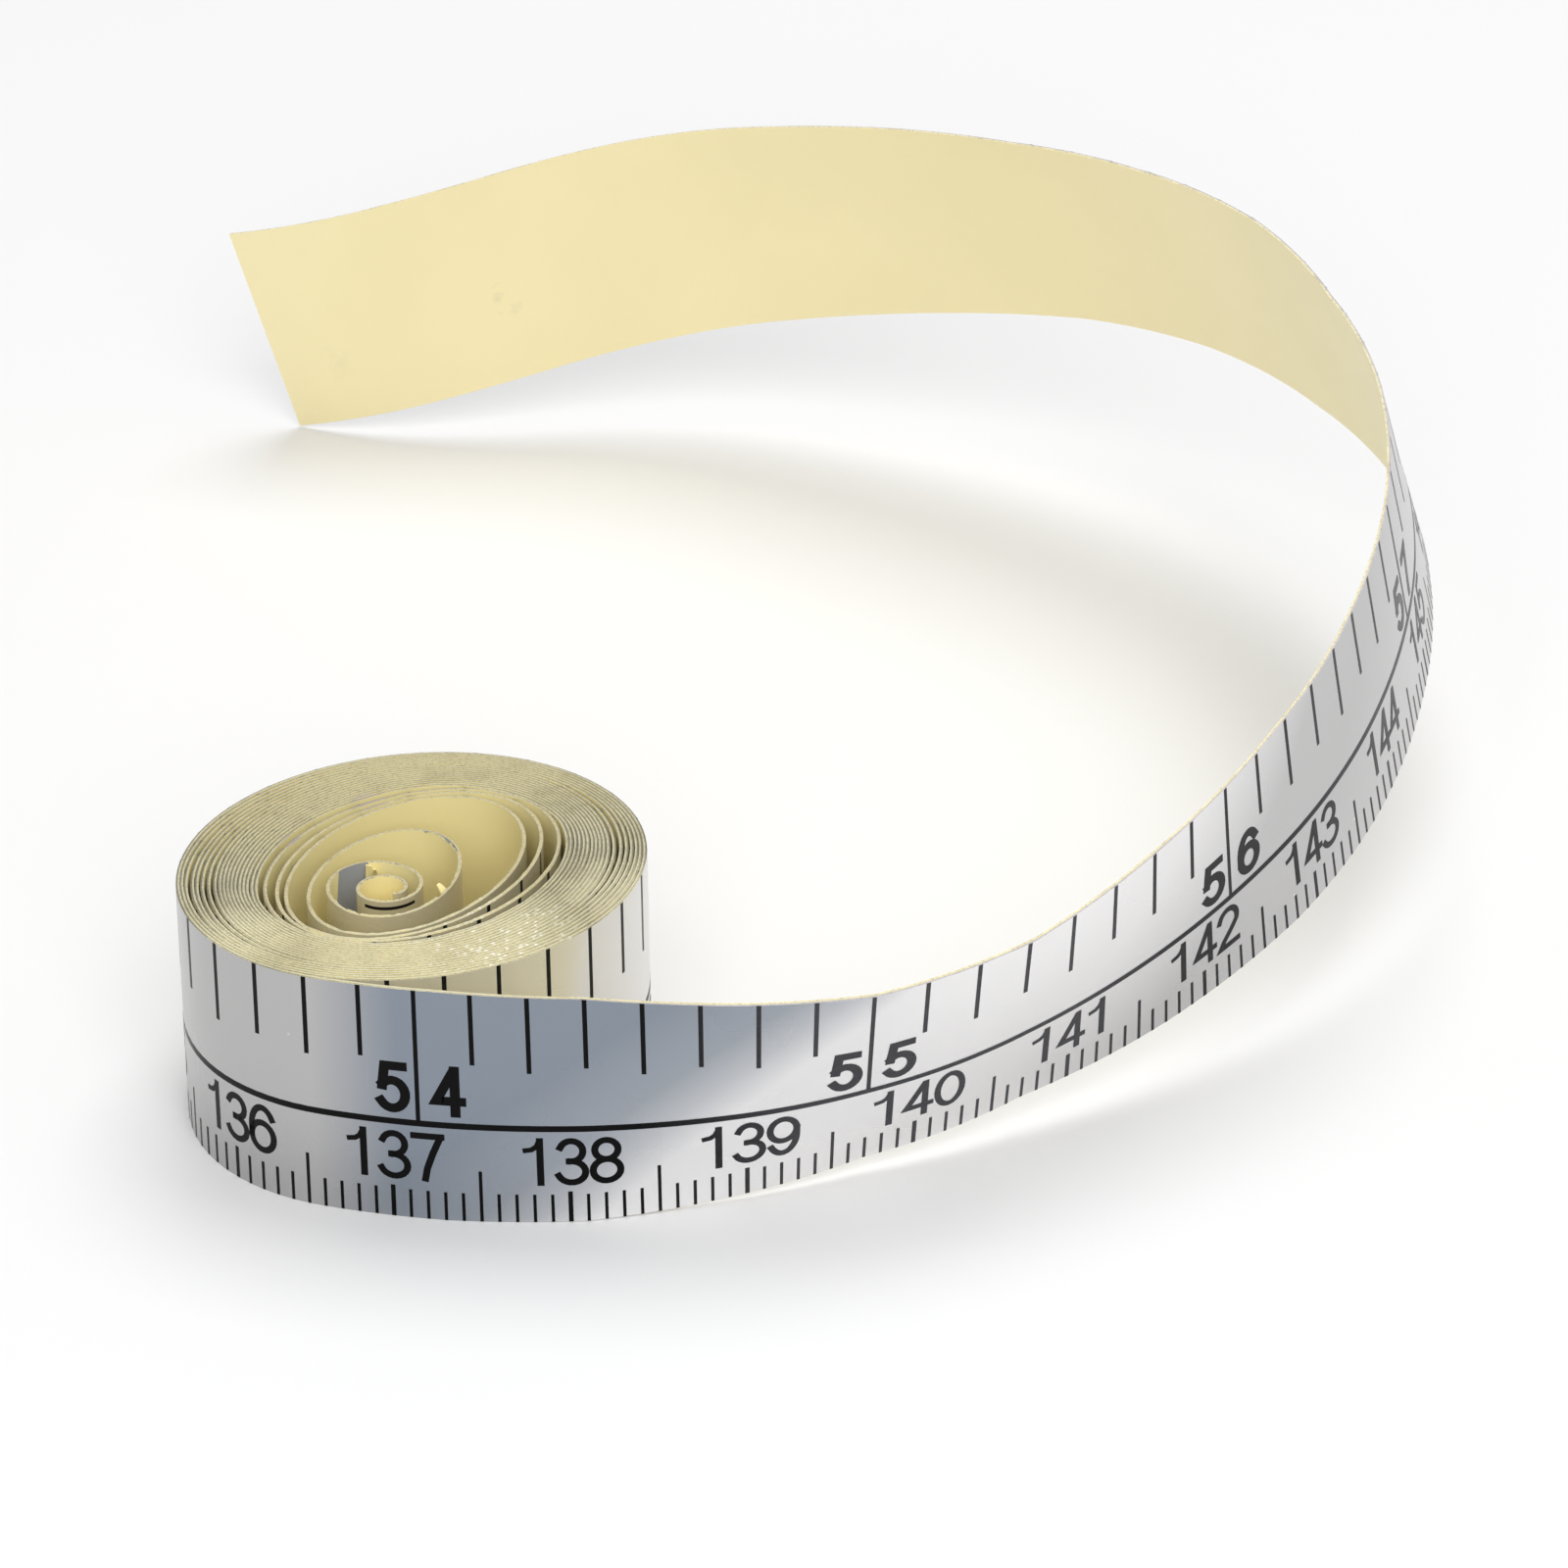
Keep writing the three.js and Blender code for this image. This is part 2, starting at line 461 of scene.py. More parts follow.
def layer_mesh(line, first, last, layer, torn=(False, False)):
    """One layer: a unit bar, cut across at every station and laid along them, its ends clean or torn."""
    stations = line.run(first, last)
    near, far = layer_depths()[layer]
    rise = sizes().liner_rise / MM if layer == "liner" else 0.0
    draw = random.Random(round(first))
    count = len(stations) - 1
    bm = bmesh.new()
    bmesh.ops.create_cube(bm, size=1.0)
    bmesh.ops.translate(bm, verts=bm.verts, vec=(0.5, 0.0, 0.0))
    bmesh.ops.scale(bm, verts=bm.verts, vec=(count, 1.0, 1.0))
    crosswise = [edge for edge in bm.edges if abs(edge.verts[0].co.z - edge.verts[1].co.z) > 0.5]
    bmesh.ops.subdivide_edges(bm, edges=crosswise, cuts=CROSS_CUTS, use_grid_fill=True)
    lengthwise = [edge for edge in bm.edges if abs(edge.verts[0].co.x - edge.verts[1].co.x) > 0.5]
    bmesh.ops.subdivide_edges(bm, edges=lengthwise, cuts=count - 1, use_grid_fill=True)
    bm.normal_update()
    for face in bm.faces:
        face.smooth = True
        face.material_index = 0 if abs(face.normal.y) > 0.5 else 1
    for edge in bm.edges:
        one, other = edge.link_faces
        edge.smooth = one.normal.dot(other.normal) > 0.5
    width = sizes().width / MM
    map_tape(bm, lambda co: (stations[round(co.x)].mark, co.z * width))
    rags = [rag_depth(line, station.mark) * draw.random() ** 2 for station in stations]
    tears = [draw.uniform(-TEAR_DEPTH, TEAR_DEPTH) for _ in range(2 * (CROSS_CUTS + 2))]
    for vert in bm.verts:
        place = round(vert.co.x)
        station = stations[place]
        row = round((vert.co.z + 0.5) * (CROSS_CUTS + 1))
        if place == 0 and torn[0]:
            station = line.at(station.mark + tears[row])
        if place == count and torn[1]:
            station = line.at(station.mark + tears[row + CROSS_CUTS + 2])
        across = vert.co.z * width + (vert.co.z + 0.5) * rise
        if layer == "liner" and row > CROSS_CUTS:
            across -= rags[place]
        vert.co = station.place(across, near if vert.co.y < 0 else far)
    return bm


def rag_depth(line, mark):
    """How deep the liner's upper edge is nicked at a reading."""
    for turns, depth in RAGS:
        if line.mark_after(turns[1]) < mark < line.mark_after(turns[0]):
            return depth
    return 0.0


def layer_depths():
    """How deep each layer lies under the printed face, from its near side to its far side."""
    tape = sizes()
    film = tape.film / MM
    adhesive = film + tape.adhesive / MM
    liner = adhesive + tape.liner / MM
    return {"film": (0.0, film), "adhesive": (film, adhesive), "liner": (adhesive, liner)}


# Numerals, drawn as pen strokes in a box one unit wide and one unit high


def arc(centre, radius, start, end, steps=10):
    points = []
    for step in range(steps + 1):
        angle = math.radians(start + (end - start) * step / steps)
        points.append((centre[0] + radius[0] * math.cos(angle), centre[1] + radius[1] * math.sin(angle)))
    return points


# Each stroke has its share of the pen's width and its points
NUMERAL_STROKES = {
    "0": [(1, arc((0.5, 0.5), (0.5, 0.5), 90, 450, 24))],
    "1": [(0.78, [(0.08, 0.77), (0.3, 0.79), (0.47, 0.86), (0.56, 0.97)]), (1, [(0.6, 0.0), (0.6, 1.0)])],
    "2": [
        (1, arc((0.5, 0.7), (0.48, 0.3), 165, -25, 14)
         + [(0.66, 0.4), (0.24, 0.17), (0.04, 0.0), (0.97, 0.0)]),
    ],
    "3": [
        (1, arc((0.48, 0.755), (0.42, 0.245), 160, -90, 14)),
        (1, arc((0.48, 0.255), (0.5, 0.255), 90, -160, 16)),
        (1, [(0.4, 0.51), (0.5, 0.51)]),
    ],
    "4": [(1, [(0.66, 0.95), (0.02, 0.27), (0.97, 0.27)]), (1, [(0.74, 0.0), (0.74, 1.0)])],
    "5": [
        (1, [(0.9, 1.0), (0.22, 1.0), (0.11, 0.52)]),
        (1, arc((0.48, 0.33), (0.51, 0.33), 135, -148, 18)),
    ],
    "6": [(1, arc((0.52, 0.5), (0.52, 0.5), 35, 180, 12) + arc((0.5, 0.32), (0.5, 0.32), 180, 540, 24))],
    "7": [(1, [(0.0, 1.0), (1.0, 1.0)]), (1, [(0.95, 0.96), (0.68, 0.6), (0.46, 0.24), (0.38, 0.0)])],
    "8": [
        (1, arc((0.5, 0.765), (0.42, 0.235), -90, 270, 20)),
        (1, arc((0.5, 0.265), (0.5, 0.265), 90, 450, 20)),
    ],
    "9": [(1, arc((0.48, 0.5), (0.52, 0.5), 215, 360, 12) + arc((0.5, 0.68), (0.5, 0.32), 0, 360, 24))],
}

# Greatest step along a stroke, how near a closed stroke's ends are, and the sharpest mitre
STROKE_STEP = 0.35
SAME_POINT = 1e-6
MITRE_LIMIT = 0.45


def spaced(points, step):
    """The same line with points at most a step apart."""
    line = [points[0]]
    for last, point in zip(points, points[1:]):
        count = math.ceil((point - last).length / step)
        line += [last.lerp(point, number / count) for number in range(1, count + 1)]
    return line


def draw_stroke(bm, points, pen, corner):
    """A flat pen stroke with square ends: a grid one cell wide, laid along points from a corner."""
    closed = (points[0] - points[-1]).length < SAME_POINT
    if not closed:
        points[0] += (points[0] - points[1]).normalized() * pen / 2
        points[-1] += (points[-1] - points[-2]).normalized() * pen / 2
    points = spaced(points, STROKE_STEP)
    ways = [b - a for a, b in zip(points, points[1:])]
    before = [ways[-1] if closed else ways[0], *ways]
    after = [*ways, ways[0] if closed else ways[-1]]
    reaches = []
    for pair in zip(before, after):
        normals = [Vector((-way.y, way.x, 0.0)).normalized() for way in pair]
        mitre = sum(normals, Vector()).normalized()
        reaches.append(mitre * (pen / 2 / max(mitre.dot(normals[0]), MITRE_LIMIT)))
    count = len(ways)
    made = bmesh.ops.create_grid(bm, x_segments=count, y_segments=1, size=0.5)["verts"]
    for vert in made:
        place = round((vert.co.x + 0.5) * count)
        vert.co = points[place] + reaches[place] * math.copysign(1, vert.co.y) + corner


class AddFilm(bpy.types.Operator):
    """Printed film: the wound length and the lengths across the flex lines"""

    bl_idname = "tape.film"
    bl_label = "Face film"

    def execute(self, context):
        add_layer("film", film_material())
        return {"FINISHED"}


class AddAdhesive(bpy.types.Operator):
    """Adhesive coat on the film's back"""

    bl_idname = "tape.adhesive"
    bl_label = "Adhesive"

    def execute(self, context):
        add_layer("adhesive", adhesive_material())
        return {"FINISHED"}


class AddLiner(bpy.types.Operator):
    """Release liner on the inside of every turn"""

    bl_idname = "tape.liner"
    bl_label = "Release liner"

    def execute(self, context):
        add_layer("liner", liner_material())
        return {"FINISHED"}


def add_layer(layer, materials):
    line = TapeLine()
    for section in tape_sections(line):
        if layer == "liner" and section.name == "wound":
            bare = [line.mark_after(turns) for turns in BARE_TURNS]
            core = Section("core", section.first, bare[1], section.bodies)
            wound = Section("wound", bare[0], section.last, section.bodies)
            add_length(line, core, layer, materials, torn=(False, True))
            add_length(line, wound, layer, materials, ("liner_coil",), torn=(True, False))
        elif layer == "liner" and section.name == f"strip_{LINKS}":
            peel = section.flex[1]
            held = Section(section.name, section.first, peel, section.bodies, section.flex)
            bodies = (section.bodies[1], "liner_tail")
            tail = Section("tail", peel, section.last, bodies, (peel + PEEL_GAP, peel + FLEX_REACH))
            add_length(line, held, layer, materials)
            add_length(line, tail, layer, materials, (f"liner_strip_{LINKS}",))
        else:
            node = f"{layer}_coil" if section.name == "wound" else f"{layer}_{section.name}"
            add_length(line, section, layer, materials, (node,))


def add_length(line, section, layer, materials, nodes=(), torn=(False, False)):
    """One length of one layer, in place of the frame's own solids."""
    bm = layer_mesh(line, section.first, section.last, layer, torn)
    piece = finish_piece(f"{layer}_{section.name}_tape", bm, materials)
    section.carry(line, piece)
    if nodes:
        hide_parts(*nodes)


# Torn scraps: turns into the coil, then in millimetres the length along the tape, how far down
# the tear goes, how far the top leans in, and how much of the length is left at the top
SCRAPS = (
    {"turns": 21.765, "length": 0.8, "drop": 1.0, "lean": 0.5, "top_share": 0.4},
    {"turns": 22.4, "length": 0.3, "drop": 1.7, "lean": 0.3, "top_share": 0.7},
    {"turns": 22.42, "length": 0.35, "drop": 1.2, "lean": 0.75, "top_share": 0.5},
    {"turns": 22.385, "length": 0.22, "drop": 2.2, "lean": 0.2, "top_share": 0.6},
)
SCRAP_GRID = {"x_segments": 4, "y_segments": 8}


class AddScraps(bpy.types.Operator):
    """Torn scraps of liner that stand off the tape inside the coil"""

    bl_idname = "tape.scraps"
    bl_label = "Torn liner"

    def execute(self, context):
        line = TapeLine()
        materials = liner_material()
        for number, scrap in enumerate(SCRAPS, 1):
            piece = finish_piece(f"liner_scrap_{number}", scrap_mesh(line, **scrap), materials)
            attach(piece, "coil")
        return {"FINISHED"}


def scrap_mesh(line, turns, length, drop, lean, top_share):
    """A scrap of liner that curls in from the tape towards its narrow top."""
    tape = sizes()
    thickness = tape.liner / MM
    face = layer_depths()["liner"][1]
    top = tape.width / MM / 2 + tape.liner_rise / MM
    middle = line.mark_after(turns)
    bm = bmesh.new()
    bmesh.ops.create_grid(bm, **SCRAP_GRID, size=0.5)
    bmesh.ops.solidify(bm, geom=bm.verts[:] + bm.edges[:] + bm.faces[:], thickness=thickness)
    map_tape(bm, lambda co: (middle + co.x * length, top - drop * (0.5 - co.y)))
    for vert in bm.verts:
        up = vert.co.y + 0.5
        spread = length * (1 - (1 - top_share) * up * up)
        depth = face + lean * up * up + abs(vert.co.z)
        vert.co = line.at(middle + vert.co.x * spread).place(top - drop * (1 - up), depth)
    bmesh.ops.recalc_face_normals(bm, faces=bm.faces)
    return bm


class AddPrint(bpy.types.Operator):
    """Ticks, dividing line and numerals on the film"""

    bl_idname = "tape.print"
    bl_label = "Printed scale"

    def execute(self, context):
        line = TapeLine()
        marks = printed_marks()
        ink = ink_material()
        for section in tape_sections(line):
            bm = bmesh.new()
            for mark in marks:
                if section.first <= mark.reading < section.last:
                    mark.draw(bm)
            draw_divider(bm, section)
            if section.name == "wound":
                draw_start_rule(bm, line)
            if not bm.verts:
                bm.free()
                continue
            for face in bm.faces:
                face.smooth = True
            map_tape(bm, lambda co: co.xy)
            for vert in bm.verts:
                vert.co = line.at(vert.co.x).place(vert.co.y, -scale_sizes().lift / MM)
            piece = finish_piece(f"scale_{section.name}_print", bm, [ink])
            section.carry(line, piece)
        return {"FINISHED"}


# The scale's ticks: length from the edge and thickness
EIGHTH_TICK = (4.6, 0.265)
QUARTER_TICK = (5.0, 0.265)
INCH_TICK = (8.6, 0.25)
MILLIMETRE_TICK = (1.85, 0.185)
HALF_TICK = (3.35, 0.195)
CENTIMETRE_TICK = (2.05, 0.265)
INCH_NUMERAL = {"width": 2.05, "pen": 0.57, "left_gap": 0.38, "right_gap": 0.76, "above_divider": 0.38}
CENTIMETRE_NUMERAL = {"width": 1.95, "pen": 0.4, "below_divider": 0.42, "advance": 1.93, "shift": 0.15}

# The scale is printed between these readings, after a blank leader and before a blank tail
SCALE_START = INCH
SCALE_END = 1500.0
DIVIDER_STEP = 0.5
START_RULE = {"turns": 22.905, "length": 3.1, "thickness": 0.2, "drop": 0.42, "segments": 10}


def add_bar(bm, left, right, bottom, top, segments=1):
    """A flat bar of ink, in millimetres along and across the tape."""
    made = bmesh.ops.create_grid(bm, x_segments=segments, y_segments=1, size=0.5)["verts"]
    bmesh.ops.scale(bm, verts=made, vec=(right - left, top - bottom, 1.0))
    bmesh.ops.translate(bm, verts=made, vec=((left + right) / 2, (bottom + top) / 2, 0.0))


@dataclass
class Tick:
    """A straight tick from one edge of the tape."""

    reading: float
    top: float
    bottom: float
    thickness: float

    def draw(self, bm):
        half = self.thickness / 2
        add_bar(bm, self.reading - half, self.reading + half, self.bottom, self.top)


@dataclass
class Numeral:
    """One figure of a number at a reading, with its lower left corner so far from it."""

    reading: float
    figure: str
    style: dict
    height: float
    offset: float
    bottom: float

    def draw(self, bm):
        pen = self.style["pen"]
        width = self.style["width"] - pen
        height = self.height - pen
        corner = Vector((self.reading + self.offset, self.bottom, 0.0))
        for share, stroke in NUMERAL_STROKES[self.figure]:
            points = [Vector((pen / 2 + x * width, pen / 2 + y * height, 0.0)) for x, y in stroke]
            draw_stroke(bm, points, pen * share, corner)


def tick_kind(number, *kinds):
    """The first kind of tick whose count goes into a number."""
    return next(kind for count, kind in kinds if number % count == 0)


def printed_marks():
    """Every tick and numeral: inches along the upper edge and centimetres along the lower one."""
    half = sizes().width / MM / 2
    marks = []
    for eighth in range(8, int(SCALE_END / INCH * 8) + 1):
        length, thickness = tick_kind(eighth, (8, INCH_TICK), (2, QUARTER_TICK), (1, EIGHTH_TICK))
        marks.append(Tick(eighth * INCH / 8, half, half - length, thickness))
    for millimetre in range(math.ceil(SCALE_START), int(SCALE_END) + 1):
        kinds = ((10, CENTIMETRE_TICK), (5, HALF_TICK), (1, MILLIMETRE_TICK))
        length, thickness = tick_kind(millimetre, *kinds)
        marks.append(Tick(millimetre, -half + length, -half, thickness))
    return marks + inch_numerals() + centimetre_numerals()


def divider_sides():
    """Heights of the dividing line's lower and upper side on the tape."""
    middle = sizes().width / MM / 2 - scale_sizes().divider_drop / MM
    reach = scale_sizes().divider_thickness / MM / 2
    return middle - reach, middle + reach


def inch_numerals():
    """Bold numbers: the last figure to the right of the inch tick and any before it to the left."""
    style = INCH_NUMERAL
    height = scale_sizes().inch_digit_height / MM
    bottom = divider_sides()[1] + style["above_divider"]
    numerals = []
    for inch in range(1, int(SCALE_END / INCH) + 1):
        text = str(inch)
        if len(text) > 1:
            offset = -style["left_gap"] - style["width"]
            numerals.append(Numeral(inch * INCH, text[0], style, height, offset, bottom))
        numerals.append(Numeral(inch * INCH, text[-1], style, height, style["right_gap"], bottom))
    return numerals


def centimetre_numerals():
    """Plain numbers, centred on their tick."""
    style = CENTIMETRE_NUMERAL
    height = scale_sizes().centimetre_digit_height / MM
    bottom = divider_sides()[0] - style["below_divider"] - height
    numerals = []
    for centimetre in range(math.ceil(SCALE_START / 10), int(SCALE_END / 10) + 1):
        text = str(centimetre)
        start = style["shift"] - style["width"] / 2 - style["advance"] * (len(text) - 1) / 2
        for place, figure in enumerate(text):
            offset = start + place * style["advance"]
            numerals.append(Numeral(centimetre * 10, figure, style, height, offset, bottom))
    return numerals


def draw_divider(bm, section):
    """The line between the two scales."""
    first = max(section.first, SCALE_START)
    last = min(section.last, SCALE_END)
    if last <= first:
        return
    add_bar(bm, first, last, *divider_sides(), math.ceil((last - first) / DIVIDER_STEP))


def draw_start_rule(bm, line):
    """A short rule by the upper edge of the blank leader."""
    rule = START_RULE
    left = line.mark_after(rule["turns"]) - rule["length"] / 2
    bottom = sizes().width / MM / 2 - rule["drop"] - rule["thickness"] / 2
    add_bar(bm, left, left + rule["length"], bottom, bottom + rule["thickness"], rule["segments"])


# Materials

# Readings between which the cut edges lose the cream of the core, and between which they lose the
# painted shade given to them between the turns of the coil and grow paler out along the strip
CREAM_FADES = (90.0, 180.0)
EDGES_LEAVE_PAINTED_SHADE = (1366.0, 1390.0)

# Readings between which the film's painted reflection grows duller and then deeper out from the coil,
# and the shares of the film's silver that the painted reflection leaves on the coil
PAINTED_REFLECTION_DULLS = (1338.0, 1350.0)
PAINTED_REFLECTION_DEEPENS = (1365.5, 1370.5)
WOUND_REFLECTION_SHARE = 0.78
DULL_REFLECTION_SHARE = 0.5

# Readings at which the film has come so far back to its own silver out of its painted reflection, on a
# slant across the tape, and those at which the painted reflection keeps it to such a share of that silver
PAINTED_REFLECTION_SLANT = 18.0
PAINTED_REFLECTION_CLEARS = (
    (1376.5, 0.0), (1383.5, 0.15), (1387.0, 0.45), (1390.5, 0.93), (1394.0, 0.97), (1402.0, 0.96))
PAINTED_REFLECTION_FADES = ((1411.0, 0.87), (1418.0, 0.71), (1424.0, 0.56), (1434.0, 0.54), (1452.0, 0.62))

# Readings at which the ink is so many times its own tone, paled and deepened by a painted reflection
# along the strip
INK_PAINTED_REFLECTION = (
    (1362.0, 0.9), (1367.0, 0.1), (1384.0, 0.1), (1388.0, 2.5), (1393.0, 7.0),
    (1411.0, 7.0), (1418.0, 2.2), (1428.0, 2.2), (1440.0, 7.0))

# Readings at which the liner is so far from its wound yellow of painted bounce light to its pale
# yellow of painted light along the bend, or its plain yellow
LINER_PAINTED_LIGHT_STOPS = ((1250.0, "liner_wound"), (1400.0, "liner_pale"), (1466.0, "liner_pale"), (1500.0, "liner"))

# On the coil's upper edges: paler, glossier patches, the first with white specks of painted glint,
# and two tufts of lint, each a place and a radius
PALE_PATCHES = (
    ((5.0, -8.5, 15.0), 6.0), ((0.5, -10.5, 15.0), 8.5),
    ((12.0, -3.4, 15.0), 4.0), ((-9.0, -7.6, 15.0), 3.5),
)
LINT = (((-2.7, 6.9, 15.0), 1.2), ((-6.9, 2.8, 15.0), 0.8))
PALE_PATCH_COLOUR = (0.72, 0.68, 0.47)
# Painted glint: the white of the specks in the first patch
PAINTED_GLINT_COLOUR = (1.0, 1.0, 0.95)
LINT_COLOUR = (0.33, 0.29, 0.31)
SCUFF_COLOUR = (0.75, 0.75, 0.75)
# The adhesive's cut edge in the coil: dust, and painted shade between the turns
DUST_AND_SHADE_COLOURS = ((0.08, 0.075, 0.05), (0.4, 0.37, 0.26))
SPOT_CORE = 0.4

# Thumbed stains on the liner: the reading, the height on the tape, a radius and a strength
STAINS = ((1539.3, -0.9, 0.9, 0.5), (1538.9, -2.0, 1.0, 0.6), (1551.0, -3.0, 1.6, 0.15))
STAIN_COLOUR = (0.5, 0.47, 0.33)
WHITE = (1.0, 1.0, 1.0)
LINER_MATERIALS = ("release_paper", "liner_edge")


def new_material(name):
    material = bpy.data.materials.new(name)
    material.use_nodes = True
    return material, material.node_tree, material.node_tree.nodes["Principled BSDF"]


def feed(tree, socket, value):
    """Links a socket to another one, or sets it to a plain value or colour."""
    if isinstance(value, bpy.types.NodeSocket):
        tree.links.new(value, socket)
    elif isinstance(value, float):
        socket.default_value = value
    else:
        socket.default_value = (*value, 1.0)


def fit(tree, node, **values):
    """Links or sets a node's inputs, named with _ for a space."""
    for name, value in values.items():
        feed(tree, node.inputs[name.replace("_", " ")], value)


def span(tree, source, start, end, low=0.0, high=1.0):
    """A value that runs from low to high as the source does from start to end."""
    node = tree.nodes.new("ShaderNodeMapRange")
    fit(tree, node, Value=source, From_Min=start, From_Max=end, To_Min=low, To_Max=high)
    return node.outputs["Result"]


def tones(tree, source, *stops):
    """A colour that runs through tones as the source passes their places between none and all."""
    node = tree.nodes.new("ShaderNodeValToRGB")
    elements = node.color_ramp.elements
    while len(elements) < len(stops):
        elements.new(1.0)
    for element, (place, colour) in zip(elements, stops):
        element.position = place
        element.color = (*colour, 1.0)
    fit(tree, node, Fac=source)
    return node.outputs["Color"]


def mix(tree, share, one, other, blend="MIX"):
    """One colour with a share of another over it."""
    node = tree.nodes.new("ShaderNodeMix")
    node.data_type = "RGBA"
    node.blend_type = blend
    fit(tree, node, Factor=share, A=one, B=other)
    return node.outputs["Result"]


def combine(tree, one, other, operation):
    """Two values put together by an operation."""
    node = tree.nodes.new("ShaderNodeMath")
    node.operation = operation
    feed(tree, node.inputs[0], one)
    feed(tree, node.inputs[1], other)
    return node.outputs["Value"]


def add_bump(tree, shader, height, strength, distance):
    bump = tree.nodes.new("ShaderNodeBump")
    fit(tree, bump, Height=height, Strength=strength, Distance=distance)
    fit(tree, shader, Normal=bump.outputs["Normal"])


def object_coordinates(tree):
    return tree.nodes.new("ShaderNodeTexCoord").outputs["Object"]


def tape_coordinates(tree):
    node = tree.nodes.new("ShaderNodeUVMap")
    node.uv_map = "tape"
    return node.outputs["UV"]


def nearness(tree, source, place, inner, outer, most=1.0):
    """A share that fades from the most, at an inner distance from a place, to none at an outer one."""
    node = tree.nodes.new("ShaderNodeVectorMath")
    node.operation = "DISTANCE"
    node.inputs[1].default_value = place
    feed(tree, node.inputs[0], source)
    return span(tree, node.outputs["Value"], inner, outer, most, 0.0)


def spot(tree, place, radius):
    """A share that fades out from a place in the coil to a radius round it, in millimetres."""
    centre = (Vector(place) + COIL_AXIS) * MM
    return nearness(tree, object_coordinates(tree), centre, radius * MM * SPOT_CORE, radius * MM)


def stain(tree, reading, height, radius, strength):
    """A share that fades out from a place on the tape to a radius round it, in millimetres."""
    width = sizes().width / MM
    place = (reading / width, height / width, 0.0)
    return nearness(tree, tape_coordinates(tree), place, 0.0, radius / width, strength)


# Effects that several materials share, each a node group


def start_group(name, inputs, outputs):
    """An empty node group, with the sockets of its entry and its exit."""
    group = bpy.data.node_groups.new(name, "ShaderNodeTree")
    for way, labels in (("INPUT", inputs), ("OUTPUT", outputs)):
        for label in labels:
            kind = "NodeSocketColor" if label == "Colour" else "NodeSocketFloat"
            group.interface.new_socket(label, in_out=way, socket_type=kind)
    entry = group.nodes.new("NodeGroupInput")
    leave = group.nodes.new("NodeGroupOutput")
    return group, entry.outputs, leave.inputs


def variation_group(name):
    """Slow and fine unevenness of a surface, as two values around one half."""
    group, entry, leave = start_group(name, ("Slow Scale", "Fine Scale"), ("Slow", "Fine"))
    for label, detail in (("Slow", 3.0), ("Fine", 6.0)):
        noise = group.nodes.new("ShaderNodeTexNoise")
        fit(group, noise, Vector=object_coordinates(group), Scale=entry[f"{label} Scale"], Detail=detail)
        feed(group, leave[label], noise.outputs["Fac"])
    return group


def specks_group(name):
    """A mask of small specks, in some of the cells of a pattern."""
    group, entry, leave = start_group(name, ("Scale", "Radius", "Share"), ("Mask",))
    cells = group.nodes.new("ShaderNodeTexVoronoi")
    fit(group, cells, Vector=object_coordinates(group), Scale=entry["Scale"])
    core = combine(group, entry["Radius"], 0.5, "MULTIPLY")
    inside = span(group, cells.outputs["Distance"], core, entry["Radius"], 1.0, 0.0)
    parts = group.nodes.new("ShaderNodeSeparateColor")
    fit(group, parts, Color=cells.outputs["Color"])
    chosen = combine(group, parts.outputs["Red"], entry["Share"], "LESS_THAN")
    feed(group, leave["Mask"], combine(group, inside, chosen, "MULTIPLY"))
    return group


def tape_run_group(name):
    """A share that runs from none to all between two readings, on a slant across the tape."""
    group, entry, leave = start_group(name, ("Start", "End", "Slant"), ("Share",))
    parts = group.nodes.new("ShaderNodeSeparateXYZ")
    fit(group, parts, Vector=tape_coordinates(group))
    reading = combine(group, parts.outputs["X"], sizes().width / MM, "MULTIPLY")
    drift = combine(group, parts.outputs["Y"], entry["Slant"], "MULTIPLY")
    place = combine(group, reading, drift, "SUBTRACT")
    feed(group, leave["Share"], span(group, place, entry["Start"], entry["End"]))
    return group


def edge_wear_group(name):
    """A cut edge's fibres and dirt, with lint, and paler, glossier patches, with white specks of painted
    glint in the first.
    """
    group, entry, leave = start_group(name, ("Colour",), ("Colour", "Roughness", "Height"))
    uneven = add_effect(group, "surface_variation", Slow_Scale=500.0, Fine_Scale=6000.0)
    fibres = tones(group, uneven["Fine"], (0.36, (0.7, 0.7, 0.7)), (0.52, WHITE))
    dirt = tones(group, uneven["Slow"], (0.3, (0.8, 0.79, 0.78)), (0.5, WHITE))
    worn = mix(group, 1.0, mix(group, 1.0, entry["Colour"], fibres, "MULTIPLY"), dirt, "MULTIPLY")
    clots = span(group, uneven["Fine"], 0.4, 0.6, 0.4, 1.0)
    pale_patch = 0.0
    for place in PALE_PATCHES:
        pale_patch = combine(group, pale_patch, spot(group, *place), "MAXIMUM")
    pale_patch = combine(group, pale_patch, clots, "MULTIPLY")
    # White specks of painted glint in the first patch
    glints = add_effect(group, "specks", Scale=2600.0, Radius=0.4, Share=0.45)["Mask"]
    glints = combine(group, glints, spot(group, *PALE_PATCHES[0]), "MULTIPLY")
    lint = combine(group, *(spot(group, *place) for place in LINT), "MAXIMUM")
    paled = mix(group, pale_patch, worn, PALE_PATCH_COLOUR)
    glinting = mix(group, glints, paled, PAINTED_GLINT_COLOUR)
    feed(group, leave["Colour"], mix(group, lint, glinting, LINT_COLOUR))
    feed(group, leave["Roughness"], span(group, pale_patch, 0.2, 0.8, 0.55, 0.16))
    feed(group, leave["Height"], uneven["Fine"])
    return group


EFFECTS = {
    "surface_variation": variation_group,
    "specks": specks_group,
    "tape_run": tape_run_group,
    "edge_wear_and_glints": edge_wear_group,
}


